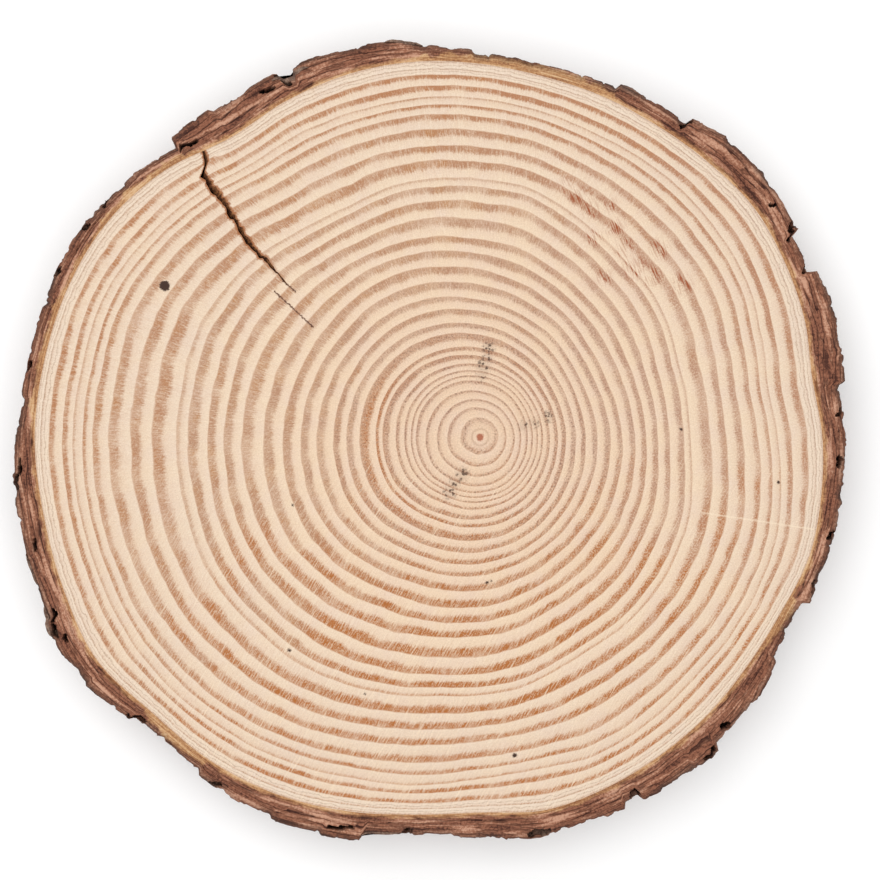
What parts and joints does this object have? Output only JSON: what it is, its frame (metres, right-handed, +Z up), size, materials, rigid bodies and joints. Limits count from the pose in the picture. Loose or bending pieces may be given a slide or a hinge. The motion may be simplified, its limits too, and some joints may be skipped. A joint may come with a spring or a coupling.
{
  "type": "wood slice",
  "caption": "Round slice sawn across a pine trunk, bark left on, with growth rings and a drying crack; lies flat as a board, base or stand.",
  "frame": {"origin": "centre of the outline's bounding box, on the lower sawn face", "axes": "+Z up along the trunk, square to both sawn faces; +X from the pith towards the narrower rings"},
  "size_m": [0.2534, 0.243, 0.025],
  "materials": {
    "sawn_pine": "sawn and lightly sanded, dry, matt, with tan latewood rings",
    "bark": "rough layered bark, dry, reddish brown with dark fissures"
  },
  "bodies": {
    "root": {"wood_slice": "sawn_pine"}
  },
  "joints": []
}
